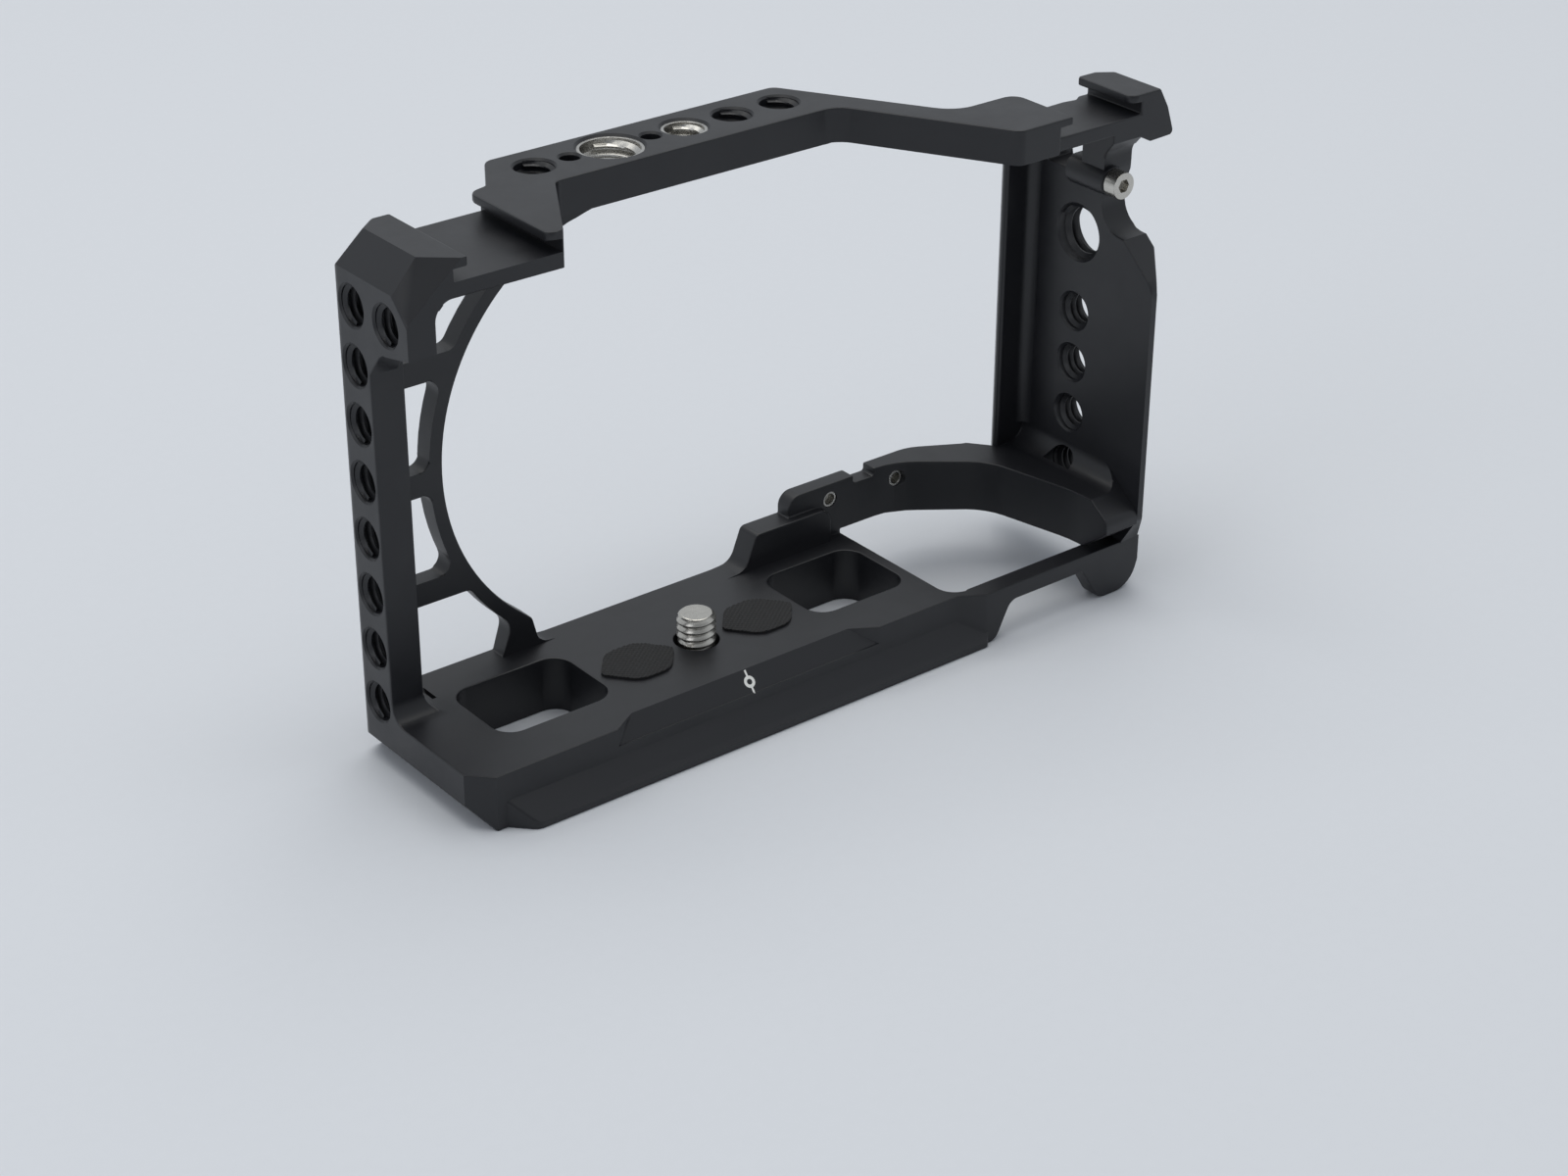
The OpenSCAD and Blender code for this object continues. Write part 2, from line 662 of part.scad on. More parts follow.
module left_post() color(anodised) difference() {
    union() {
        plan([[left_out, post_rear], [left_in, post_rear], [left_in, front_y],
            [left_out, front_y, post_round]], 0, bridge_z);
        side([[post_rear - foot_r, base_t], [post_rear, base_t],
            each arc([post_rear - foot_r, base_t + foot_r], foot_r, 0, -90)],
            left_out, left_in);
        front([[left_in, base_t],
            each arc([left_in + foot_inner_r, base_t + foot_inner_r],
                foot_inner_r, -90, -180)], post_rear, front_y - arch_t);
        intersection() {
            side([[post_rear - foot_r, base_t], [post_rear, base_t],
                each arc([post_rear - foot_r, base_t + foot_r], foot_r, 0, -90)],
                left_in, left_in + foot_r);
            front([[left_in, base_t],
                each arc([left_in + foot_inner_r, base_t + foot_inner_r],
                    foot_inner_r, -90, -180)], post_rear - foot_r, post_rear);
        }
        front([[left_in, bridge_z], each arc([left_in + corner_r, bridge_z - corner_r],
            corner_r, 180, 90)], post_rear, front_y - arch_t);
    }
    left_edge_cut();
    for (i = [0:post_holes - 1])
        tapped_x(post_hole_y, post_hole_z + i * hole_pitch, quarter_r, left_out, left_in);
}

// Points of the arch's rim between two heights, at the rim's outer radius
function rim_arc(z0, z1) =
    let (a0 = 180 - asin((z0 - axis_z) / rim_r), a1 = 180 - asin((z1 - axis_z) / rim_r))
    arc([0, axis_z], rim_r, a0, a1);

function rim_x(z) = -sqrt(pow(rim_r, 2) - pow(z - axis_z, 2));

// A window between the post and the rim, with its rim corners rounded
function arch_window(z0, z1) =
    let (low = z0 + corner_run, high = z1 - corner_run)
    [[left_in, z0], [rim_x(z0), z0, arch_corner], each rim_arc(low, high),
        [rim_x(z1), z1, arch_corner], [left_in, z1]];

module lens_arch() color(anodised) difference() {
    front([[left_in, base_t], [arch_foot_x + arch_toe[1], base_t],
        [arch_foot_x + arch_toe[0], base_t + toe, arch_toe[2]],
        [arch_foot_x + arch_shin[0], base_t + arch_shin[1], arch_shin[2]],
        [arch_foot_x, arch_foot_z + 0.4], [0, axis_z], [0, bridge_z],
        [left_in, bridge_z]], front_y - arch_t, front_y);
    translate([0, 0, axis_z])
        rotate([90, 0, 0])
        cylinder(r = lens_r, h = 4 * front_y, center = true, $fn = 160);
    front([[left_in - over, base_t - over], [rim_x(arch_foot_z) + 0.2, base_t - over],
        [rim_x(arch_foot_z) + 1, base_t],
        [rim_x(arch_foot_z) + arch_heel[0], arch_foot_z - arch_heel[0], arch_heel[1]],
        each rim_arc(arch_foot_z, strut_z[0] - strut_t / 2 - corner_run),
        [rim_x(strut_z[0] - strut_t / 2), strut_z[0] - strut_t / 2, arch_corner],
        [left_in - over, strut_z[0] - strut_t / 2]], front_y - arch_t - over,
        front_y + over);
    for (i = [0, 1])
        front(arch_window(strut_z[i] + strut_t / 2, strut_z[i + 1] - strut_t / 2),
            front_y - arch_t - over, front_y + over);
    front([[left_in - over, strut_z[2] + strut_t / 2],
        [rim_x(strut_z[2] + strut_t / 2), strut_z[2] + strut_t / 2, arch_corner],
        each rim_arc(strut_z[2] + strut_t / 2 + corner_run, rim_top - arch_end),
        [rim_x(rim_top - arch_end), rim_top + over], [left_in - over, rim_top + over]],
        front_y - arch_t - over, front_y + over);
}

module left_cold_shoe() color(anodised) difference() {
    union() {
        front([[left_out, bridge_z], [left_joint_x, bridge_z], [left_joint_x, groove_z],
            [left_wall_x, groove_z], [left_wall_x, lip_z], [left_lip_x, lip_z],
            [left_lip_x, top_z], [left_out + shoulder_bevel, top_z],
            [left_out, top_z - shoulder_bevel]], -left_shoe_rear, front_y);
        side([[-left_shoe_rear, bridge_z], [-left_shoe_rear, post_top_z - boss_under[0]],
            [post_rear - boss_slope, post_top_z - boss_under[1], corner_r],
            [post_rear, post_top_z - boss_under[2]], [post_rear, bridge_z]],
            left_out, left_out + boss_t);
        front([[left_out + boss_t, bridge_z],
            each arc([left_out + boss_t + corner_r, bridge_z - corner_r],
                corner_r, 180, 90)], -left_shoe_rear, post_rear);
    }
    tapped_x(post_hole_y - boss_step, post_top_z, quarter_r, left_out, left_out + boss_t);
    shoe_end_cut([left_out, end_cut_rear, top_z - shoulder_bevel], -end_cut_turn);
    shoe_end_cut([left_out + end_cut_front, front_y, top_z], end_cut_turn);
    plan([[left_out - over, front_y + over], [left_out - over, front_y - post_round],
        [left_out, front_y - post_round], [left_out, front_y, post_round],
        [left_out + post_round, front_y], [left_out + post_round, front_y + over]],
        bridge_z - over, top_z + over);
}

// Outline of the whole bridge: left leg, bar and bent leg
function bridge_outline() =
    let (
        leg_front = right_shoe_front + shoe_stop,
        leg_fall = bar_rear + leg_rear,
        across = leg_w / sin(atan2(leg_fall, leg_run))
    )
    [[left_slot_x, front_y, bar_r[0]],
        [left_slot_x + bar_step[0], front_y + bar_step[1], bar_r[1]],
        [left_slot_x + bar_step[2], bar_front, bar_r[2]],
        [leg_bend - bar_r[3], bar_front, bar_r[3]],
        [leg_bend + across + leg_run * (bar_rear - leg_front) / leg_fall, leg_front, leg_r[0]],
        [right_slot_x, leg_front, leg_r[1]], [right_slot_x, -leg_rear],
        [leg_bend + leg_run, -leg_rear, leg_r[2]], [leg_bend, bar_rear, leg_r[3]],
        [left_slot_x + bar_back[0], bar_rear, leg_r[4]],
        [left_slot_x + bar_back[1], -left_shoe_rear, shoe_corner_r[0]],
        [left_slot_x, -left_shoe_rear, shoe_corner_r[1]]];

module top_bridge() color(anodised) difference() {
    intersection() {
        plan(bridge_outline(), bridge_z, top_z);
        box([left_slot_x - over, -plate_rear, bridge_z - over],
            [bridge_split, 2 * front_y, top_z + over]);
    }
    box([left_slot_x - over, -plate_rear, bridge_z - over],
        [left_joint_x, front_y + over, lip_z]);
    translate([0, bar_hole_y, bridge_z])
        tapped(big_r + insert_wall, bridge_t);
    for (side = [-1, 1])
        translate([side * locating_x, bar_hole_y, bridge_z])
        tapped(locating_d / 2, bridge_t);
    for (x = bar_holes())
        translate([x, bar_hole_y, bridge_z])
        tapped(x == bar_first ? quarter_r + insert_wall : quarter_r, bridge_t);
}

function bar_holes() = [-bar_first, for (i = [0:2]) bar_first + i * hole_pitch];

module bridge_leg() color(anodised) difference() {
    intersection() {
        plan(bridge_outline(), bridge_z, top_z);
        box([bridge_split, -plate_rear, bridge_z - over],
            [right_slot_x + over, 2 * front_y, top_z + over]);
    }
    box([right_joint_x, -leg_rear - over, bridge_z - over],
        [right_slot_x + over, right_shoe_front + shoe_slot, lip_z]);
}

module right_cold_shoe() color(anodised) difference() {
    intersection() {
        front([[right_joint_x, bridge_z], [horn_root, bridge_z],
            [right_wall_x + horn[1].x, bridge_z + horn[1].y],
            [right_wall_x + horn[2].x, bridge_z + horn[2].y, horn_r[0]],
            [right_wall_x + horn_top[0], groove_z], [right_wall_x + horn_top[1], top_z],
            [right_lip_x, top_z], [right_lip_x, lip_z], [right_wall_x, lip_z],
            [right_wall_x, groove_z], [right_joint_x, groove_z]],
            -right_shoe_rear, right_shoe_front + shoe_stop);
        plan([[right_joint_x, -right_shoe_rear], [right_wall_x + horn_plan[0], -right_shoe_rear],
            [right_wall_x + horn_plan[0], right_shoe_front - horn_plan[1], horn_r[1]],
            [right_wall_x + horn_plan[2], right_shoe_front + shoe_stop, horn_r[2]],
            [right_lip_x + horn_plan[3], right_shoe_front + shoe_stop, horn_r[0]],
            [right_lip_x - horn_plan[3], right_shoe_front],
            [right_joint_x, right_shoe_front]], bridge_z - bridge_t, top_z);
    }
    plan([[right_lip_x - over, -right_shoe_rear - over],
        [right_lip_x + lip_r, -right_shoe_rear - over],
        each arc([right_lip_x + lip_r, lip_r - right_shoe_rear], lip_r, 270, 180),
        [right_lip_x - over, lip_r - right_shoe_rear]], lip_z, top_z + over);
}

module right_side_plate() color(anodised) difference() {
    union() {
        intersection() {
            side([[-rail_rear, base_t], [front_y, base_t], [front_y, plate_top],
                [scallop_y + scallop_r, plate_top],
                [scallop_y + scallop_r, plate_edge_z + scallop_h, scallop_r],
                [scallop_y - scallop_step, plate_edge_z + scallop_h],
                [-plate_rear, plate_edge_z, plate_edge_r],
                [-plate_rear, base_t + plate_foot[0], plate_foot[1]]], right_in, right_out);
            plan([[right_in, -plate_rear], [right_out - plate_bevel.x, -plate_rear],
                [right_out, plate_bevel.y - plate_rear], [right_out, front_y, plate_front_r],
                [right_in + pillar_cut, front_y], [right_in, front_y - pillar_cut]],
                base_t, plate_top);
        }
        plan([[pillar_x, pillar_rear, pillar_r[0]], [right_in - pillar_r[2], pillar_rear],
            each arc([right_in - pillar_r[2], pillar_rear - pillar_r[2]], pillar_r[2], 90, 0),
            [right_in + over, pillar_rear - pillar_r[2]],
            [right_in + over, front_y - pillar_cut], [right_in, front_y - pillar_cut],
            [pillar_x, pillar_rear + pillar_edge, pillar_r[1]]], loop_z, plate_top);
        plan([[pillar_x, pillar_rear], [right_in + over, pillar_rear],
            [right_in + over, front_y - pillar_cut], [right_in, front_y - pillar_cut],
            [pillar_x, pillar_rear + pillar_edge]], base_t, loop_z);
    }
    box([right_in - ledge_w, pillar_rear - pillar_r[2] - over, base_t],
        [right_in, pillar_rear, loop_z + ledge_fillet]);
    tapped_x(-plate_hole_y, plate_big_z, big_r, right_in, right_out);
    for (z = plate_hole_row)
        tapped_x(-plate_hole_y, z, quarter_r, right_in, right_out);
    barrel_shape();
    box([right_in - over, barrel_front, plate_top - slot_floor],
        [right_out + over, slot_front, plate_top + over]);
}

module right_shoulder() color(anodised)
    side([[slot_front, plate_top], [front_y - pillar_cut, plate_top],
        [pillar_rear + web_rise[0], plate_top + web_rise[1], web_rise[2]],
        [slot_front + web_top[0], bridge_z - web_top[1], web_top[2]],
        [right_shoe_front, groove_z], [right_shoe_front, bridge_z],
        [slot_front - web_slot[0], bridge_z - web_slot[1]],
        [slot_front, bridge_z - web_slot[2], web_slot[3]]], web_x[0], web_x[1]);

module barrel_shape()
    translate([barrel_x, barrel_front, barrel_z])
    rotate([90, 0, 0])
    cylinder(r = barrel_r, h = barrel_len);

module strap_eyelet() color(anodised) difference() {
    union() {
        barrel_shape();
        intersection() {
            union() {
                side([[neck_front, barrel_z], each neck_edge, [neck_rear, barrel_z]],
                    neck_x, right_in);
                side([[neck_front, plate_top], each neck_edge,
                    [neck_rear, barrel_z + neck_lean, scallop_r],
                    [scallop_y + scallop_r, plate_edge_z + scallop_h + scallop_r + neck_toe],
                    [scallop_y + scallop_r, plate_top]], right_in, neck_x + neck_t);
            }
            front([[neck_x, plate_edge_z], [neck_x + neck_t, plate_edge_z],
                [neck_x + neck_t, bridge_z - neck_flare], [horn_root, bridge_z],
                [neck_x, bridge_z]], -right_shoe_rear, neck_front);
        }
    }
    translate([barrel_x, barrel_rear - over, barrel_z])
        rotate([-90, 0, 0])
        cylinder(r = eye_screw_d / 2 + fit, h = eye_screw_len + over + bore_end);
}

module camera_screw() color(steel) difference() {
    union() {
        translate([0, 0, head_bottom])
            cylinder(d = screw_head_d, h = screw_head_h);
        translate([0, 0, head_top])
            cylinder(r = neck_r, h = thread_z - head_top);
        translate([0, 0, thread_z])
            cylinder(r = screw_r, h = screw_tip - thread_z - screw_point);
        translate([0, 0, screw_tip - screw_point])
            cylinder(r1 = screw_r, r2 = screw_r - screw_point, h = screw_point);
    }
    translate([-screw_head_d, -screw_slot_w / 2, head_bottom - over])
        cube([2 * screw_head_d, screw_slot_w, screw_slot_depth + over]);
}

module screw_washer() color(nylon)
    translate([0, 0, head_top])
    difference() {
        cylinder(d = screw_head_d, h = washer_t);
        translate([0, 0, -over])
            cylinder(r = neck_r + washer_clearance, h = washer_t + 2 * over);
    }

module snap_ring() color(steel)
    translate([0, 0, ring_z + fit])
    difference() {
        cylinder(r = groove_r - fit, h = ring_t);
        translate([0, 0, -over])
            cylinder(r = ring_in, h = ring_t + 2 * over);
        translate([-ring_gap / 2, 0, -over])
            cube([ring_gap, 2 * groove_r, ring_t + 2 * over]);
    }

module rubber_pad(x) color(rubber)
    translate([x, pad_y, 0])
    plan([for (end = [-1, 1]) each [[end * pad_len / 2, 0, pad_r[0]],
        [end * (pad_len / 2 - pad_taper), end * pad_w / 2, pad_r[1]],
        [-end * (pad_len / 2 - pad_taper), end * pad_w / 2, pad_r[1]]]],
        base_t, base_t + pad_t);

module rubber_pad_left()
    rubber_pad(-pad_x);

module rubber_pad_right()
    rubber_pad(pad_x);

module centre_mark() color("white")
    mark_body(0);

// A steel sleeve that carries the thread of a hole in the bar
module thread_insert(x, r) color(steel)
    translate([x, bar_hole_y, bridge_z])
    difference() {
        cylinder(r = r + insert_wall, h = bridge_t - mouth);
        translate([0, 0, -over])
            cylinder(r = r, h = bridge_t + 2 * over);
    }

module big_thread_insert()
    thread_insert(0, big_r);

module quarter_thread_insert()
    thread_insert(bar_first, quarter_r);

// Bright bushes pressed into the two holes of the loop
module loop_inserts() color(steel) difference() {
    for (i = [0, 1])
        translate([loop_hole_x[i], loop_front + bush_proud[i], loop_hole_z])
        rotate([-90, 0, 0])
        cylinder(d = loop_hole_d, h = loop_hole_depth - bush_proud[i]);
    for (x = loop_hole_x)
        translate([x, loop_front - over, loop_hole_z])
        rotate([-90, 0, 0])
        cylinder(d = loop_hole_d - 2 * bush_wall, h = over + loop_hole_depth - bush_floor);
}

module eyelet_screw() color(steel)
    translate([barrel_x, barrel_rear, barrel_z])
    rotate([90, 0, 0])
    difference() {
        union() {
            translate([0, 0, fit])
                cylinder(d = eye_head_d, h = eye_head_h);
            translate([0, 0, -eye_screw_len])
                cylinder(d = eye_screw_d, h = eye_screw_len + fit);
        }
        translate([0, 0, fit + eye_head_h - socket_depth])
            cylinder(d = eye_hex / cos(30), h = socket_depth + over, $fn = 6);
    }

base_plate();
front_stop();
grip_loop();
rear_rail();
left_post();
lens_arch();
left_cold_shoe();
top_bridge();
bridge_leg();
right_cold_shoe();
right_side_plate();
right_shoulder();
strap_eyelet();
camera_screw();
screw_washer();
snap_ring();
rubber_pad_left();
rubber_pad_right();
centre_mark();
big_thread_insert();
quarter_thread_insert();
loop_inserts();
eyelet_screw();
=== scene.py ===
"""Dresses the milled camera cage: anodised frame with threads, screws, pads, mark and studio."""

import json
import math

import bmesh
import bpy
from bpy.props import FloatProperty, FloatVectorProperty, IntProperty, PointerProperty
from bpy.types import Operator, Panel, PropertyGroup
from mathutils import Matrix, Vector
from mathutils.bvhtree import BVHTree
from mathutils.kdtree import KDTree


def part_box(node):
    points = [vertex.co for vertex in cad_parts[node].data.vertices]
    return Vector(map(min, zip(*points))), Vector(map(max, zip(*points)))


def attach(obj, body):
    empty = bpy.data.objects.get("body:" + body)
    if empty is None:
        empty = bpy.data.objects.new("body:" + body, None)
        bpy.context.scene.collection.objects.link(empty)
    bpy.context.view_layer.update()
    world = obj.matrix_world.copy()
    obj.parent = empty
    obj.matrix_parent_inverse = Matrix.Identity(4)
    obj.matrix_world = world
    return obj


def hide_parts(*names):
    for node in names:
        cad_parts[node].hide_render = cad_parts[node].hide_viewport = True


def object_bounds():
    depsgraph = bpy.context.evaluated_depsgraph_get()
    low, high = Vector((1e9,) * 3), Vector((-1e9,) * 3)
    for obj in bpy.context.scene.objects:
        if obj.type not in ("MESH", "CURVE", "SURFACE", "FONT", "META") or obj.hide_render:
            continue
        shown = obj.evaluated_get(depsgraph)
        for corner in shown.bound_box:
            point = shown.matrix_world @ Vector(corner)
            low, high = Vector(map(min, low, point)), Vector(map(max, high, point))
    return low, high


bl_info = {
    "name": "Camera Cage",
    "version": (1, 0, 0),
    "blender": (4, 5, 0),
    "location": "3D View > Sidebar > Camera Cage",
    "description": "Models the finish, threads, screws and pads of a milled camera cage",
    "category": "Object",
}

MM = 0.001

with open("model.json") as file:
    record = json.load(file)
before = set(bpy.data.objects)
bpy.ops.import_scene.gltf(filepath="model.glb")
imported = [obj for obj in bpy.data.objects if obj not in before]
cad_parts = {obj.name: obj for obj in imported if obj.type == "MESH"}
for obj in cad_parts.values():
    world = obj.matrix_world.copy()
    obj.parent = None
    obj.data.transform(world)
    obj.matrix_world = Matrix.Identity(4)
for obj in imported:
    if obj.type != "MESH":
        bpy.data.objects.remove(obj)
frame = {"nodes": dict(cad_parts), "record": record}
NODES = frame["nodes"]
MOUNTS = {mount["name"]: mount for mount in frame["record"]["mounts"]}
CAD_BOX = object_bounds()

# Sections of the one billet that the frame is milled from
FRAME_SECTIONS = [
    "base_plate", "front_stop", "grip_loop", "rear_rail", "left_post", "lens_arch",
    "left_cold_shoe", "top_bridge", "bridge_leg", "right_cold_shoe", "right_side_plate",
    "right_shoulder", "strap_eyelet",
]

# Where the camera stands, and how it looks at the cage
CAMERA_PLACE = Vector((-252.9, -339.4, 248.1)) * MM
CAMERA_AZIMUTH = math.radians(-38.59)
CAMERA_ELEVATION = math.radians(28.46)
CAMERA_ROLL = math.radians(0.27)
CAMERA_LENS = 69.435
SENSOR_WIDTH = 36.0

# Rounding of the edges, with distances as shares of its width
ROUNDING_TRIES = 12
FOLDS_COUNT_TRIES = 4       # after so many tries folded faces are left, but no stray points
STRAY = 1.1                 # off the surface by more than this, a point has strayed
SLID = 2.0                  # farther than this from every rounded edge, a point has slid away
REACH = 1.6                 # edges this near to a fault are left sharp
REACH_STEP = 0.3            # growth of that distance with each try
SAME_POINT = 1e-6           # metres
TINY_FACE = 1e-10           # square metres
FOLDED = -0.2               # cosine of the turn at which a face counts as folded over

# Section of a thread's ridge, as shares of its pitch
RIDGE_BASE = 0.94
RIDGE_CREST = 0.16          # width of the crest as a share of the base


def linear(code):
    """An sRGB hex colour as linear RGB."""
    channels = [int(code[i:i + 2], 16) / 255 for i in (1, 3, 5)]
    return tuple(c / 12.92 if c <= 0.04045 else ((c + 0.055) / 1.055) ** 2.4 for c in channels)


def colour(label, code):
    return FloatVectorProperty(name=label, description=f"{label} of the finish", subtype="COLOR",
                               size=3, min=0.0, max=1.0, default=linear(code))


def length(label, words, millimetres):
    return FloatProperty(name=label, description=words, unit="LENGTH", default=millimetres * MM,
                         precision=5)


class CageSizes(PropertyGroup):
    """Sizes of the detail that is modelled on the frame."""

    edge: length("Edge break", "Width of the rounding along the frame's milled edges", 0.32)
    small_edge: length("Small edge", "Width of the rounding on screws and bushes", 0.12)
    quarter_pitch: length("Quarter inch pitch", "Pitch of the quarter inch threads", 1.27)
    big_pitch: length("Three eighths pitch", "Pitch of the three eighths inch threads", 1.5875)
    thread_depth: length("Thread depth", "Depth of a tapped thread below the bore", 0.62)
    mouth: length("Mouth", "Depth of the chamfer at a tapped hole's mouth", 0.35)
    boss_wall: length("Boss wall", "Wall that the corner hole is tapped in", 4.9)
    post_wall: length("Post wall", "Wall that the post's holes are tapped in", 5.7)
    plate_wall: length("Side wall", "Wall that the side plate's holes are tapped in", 5.3)
    screw_root: length("Screw root", "Radius at the root of the camera screw's thread", 2.58)
    pad_cell: length("Pad pattern", "Spacing of the diamond pattern moulded in the pads", 1.05)
    pad_relief: length("Pad relief", "Height of the pattern on the pads", 0.16)
    turns_smooth: IntProperty(name="Thread steps", description="Steps in one turn of a thread",
                              default=28, min=12)


class CageFinish(PropertyGroup):
    """Colours and gloss of the finishes."""

    anodise: colour("Anodised black", "#18191d")
    steel: colour("Stainless steel", "#cbc8c1")
    thread: colour("Bright thread", "#c9c7c2")
    spring: colour("Oil-blackened steel", "#2b2b2e")
    rubber: colour("Rubber", "#131314")
    paint: colour("White paint fill", "#eeeeea")
    nylon: colour("Natural nylon", "#dedbd0")
    anodise_roughness: FloatProperty(name="Anodised roughness", default=0.4, min=0.0, max=1.0,
                                     description="Roughness of the blasted and anodised faces")


class CageStudio(PropertyGroup):
    """Light and floor of the studio."""

    floor: colour("Floor", "#d9dce1")
    sky: colour("Room", "#dfe4ea")
    room_light: FloatProperty(name="Room light", default=0.74, min=0.0,
                              description="Strength of the light from the room all round")
    softbox_power: FloatProperty(name="Softbox", default=9.0, min=0.0, unit="POWER",
                                 description="Power of the large softbox overhead")
    fill_power: FloatProperty(name="Fill", default=2.0, min=0.0, unit="POWER",
                              description="Power of the panel on the left")
    dark_side: FloatProperty(name="Dark side", default=0.5, min=0.0, max=1.0,
                             description="Share of the room's light behind the camera")


def sizes():
    return bpy.context.scene.cage_sizes


def finish():
    return bpy.context.scene.cage_finish


# Modelling helpers


def deselect():
    """Leaves nothing selected and nothing in edit mode."""
    if bpy.context.mode != "OBJECT":
        bpy.ops.object.mode_set(mode="OBJECT")
    bpy.ops.object.select_all(action="DESELECT")


def activate(piece):
    deselect()
    piece.select_set(True)
    bpy.context.view_layer.objects.active = piece


def edit(piece):
    """Edit mode on one piece with all of it selected."""
    activate(piece)
    bpy.ops.object.mode_set(mode="EDIT")
    bpy.ops.mesh.select_all(action="SELECT")


def modify(piece, kind, **settings):
    """Adds a modifier with its settings and applies it."""
    activate(piece)
    modifier = piece.modifiers.new(kind.title(), kind)
    for name, value in settings.items():
        setattr(modifier, name, value)
    bpy.ops.object.modifier_apply(modifier=modifier.name)


def combine(piece, other, operation):
    """Adds, cuts or intersects with another piece, which is used up."""
    modify(piece, "BOOLEAN", operation=operation, solver="EXACT", object=other)
    bpy.data.objects.remove(other)


def merged_copy(node, name):
    """A copy of a CAD node as one clean closed mesh with its flat faces whole."""
    piece = bpy.data.objects.new(name, NODES[node].data.copy())
    bpy.context.scene.collection.objects.link(piece)
    activate(piece)
    bpy.ops.mesh.customdata_custom_splitnormals_clear()
    edit(piece)
    bpy.ops.mesh.remove_doubles(threshold=0.002 * MM)
    dissolve_flat()
    return piece


def dissolve_flat():
    """Merges the coplanar faces of the mesh in edit mode."""
    bpy.ops.mesh.select_all(action="SELECT")
    bpy.ops.mesh.dissolve_limited(angle_limit=math.radians(0.5))
    bpy.ops.object.mode_set(mode="OBJECT")


def inside(point, box, margin):
    low, high = box
    return all(low[i] - margin <= point[i] <= high[i] + margin for i in range(3))


def sharp_edges(mesh, sharpest, boxes):
    """Numbers of the edges whose faces meet at more than an angle, outside the boxes."""
    chosen = set()
    for edge in mesh.edges:
        if len(edge.link_faces) != 2:
            continue
        middle = (edge.verts[0].co + edge.verts[1].co) / 2
        if edge.calc_face_angle() > math.radians(sharpest) and not any(
                inside(middle, box, 0.02 * MM) for box in boxes):
            chosen.add(edge.index)
    return chosen


def rounded_mesh(mesh, chosen, width):
    """The mesh with its chosen edges rounded, as a new object."""
    copy = mesh.copy()
    copy.edges.ensure_lookup_table()
    weight = copy.edges.layers.float.new("bevel_weight_edge")
    for number in chosen:
        copy.edges[number][weight] = 1.0
    data = bpy.data.meshes.new("rounded")
    copy.to_mesh(data)
    copy.free()
    piece = bpy.data.objects.new("rounded", data)
    bpy.context.scene.collection.objects.link(piece)
    modify(piece, "BEVEL", limit_method="WEIGHT", width=width, segments=2, use_clamp_overlap=False,
           miter_outer="MITER_SHARP", loop_slide=False)
    return piece


def point_tree(points):
    tree = KDTree(len(points))
    for number, point in enumerate(points):
        tree.insert(point, number)
    tree.balance()
    return tree


def edge_points(mesh, chosen):
    """Points along the chosen edges, and the edge that each belongs to."""
    points, owners = [], []
    for number in sorted(chosen):
        start, end = (vertex.co for vertex in mesh.edges[number].verts)
        steps = max(1, int((end - start).length / (0.1 * MM)))
        points += [start.lerp(end, i / steps) for i in range(steps + 1)]
        owners += [number] * (steps + 1)
    return point_tree(points), owners


def crowded_places(data, surface, corners, lines, width):
    """Places where a rounding's points stray off the surface, and where its faces fold over."""
    strays, folds = [], []
    for vertex in data.vertices:
        if corners.find(vertex.co)[2] > SAME_POINT:
            if surface.find_nearest(vertex.co)[3] > STRAY * width:
                strays.append(vertex.co.copy())
            else:
                edge_point, _, away = lines.find(vertex.co)
                if away > SLID * width:
                    strays.append(edge_point)
    facets = bmesh.new()
    facets.from_mesh(data)
    bmesh.ops.triangulate(facets, faces=facets.faces)
    facets.normal_update()
    for facet in facets.faces:
        if facet.calc_area() > TINY_FACE:
            normal = surface.find_nearest(facet.calc_center_median())[1]
            if facet.normal.dot(normal) < FOLDED:
                folds += [vertex.co.copy() for vertex in facet.verts]
    facets.free()
    return strays, folds


def round_edges(piece, width, sharpest=50.0, fine=()):
    """Rounds the sharp edges outside the boxes of the fine nodes, and shades the faces.

    Edges near a fault are left sharp and the rest is rounded afresh. Folded faces count as faults
    in the first tries only. If points still stray after the last try, nothing is rounded.
    """
    mesh = bmesh.new()
    mesh.from_mesh(piece.data)
    mesh.normal_update()
    mesh.edges.ensure_lookup_table()
    surface = BVHTree.FromBMesh(mesh)
    corners = point_tree([vertex.co for vertex in mesh.verts])
    chosen = sharp_edges(mesh, sharpest, [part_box(node) for node in fine])
    for attempt in range(ROUNDING_TRIES):
        rounded = rounded_mesh(mesh, chosen, width)
        lines, owners = edge_points(mesh, chosen)
        strays, folds = crowded_places(rounded.data, surface, corners, lines, width)
        fits = not strays and (attempt >= FOLDS_COUNT_TRIES or not folds)
        if fits:
            piece.data = rounded.data
        bpy.data.objects.remove(rounded)
        if fits:
            break
        reach = (REACH + REACH_STEP * attempt) * width
        for place in strays + folds:
            chosen -= {owners[i] for _, i, _ in lines.find_range(place, reach)}
    mesh.free()
    shade(piece)


def shade(piece, angle=35.0):
    """Smooth faces with crisp edges, and flat faces that stay flat beside their rounding."""
    activate(piece)
    bpy.ops.object.shade_smooth_by_angle(angle=math.radians(angle))
    modify(piece, "WEIGHTED_NORMAL", keep_sharp=True, weight=80)


def set_place(piece, matrix):
    """Puts a turn and a place in the mesh, so that the object stays at the origin."""
    piece.data.transform(matrix @ piece.matrix_world)
    piece.matrix_world = Matrix.Identity(4)


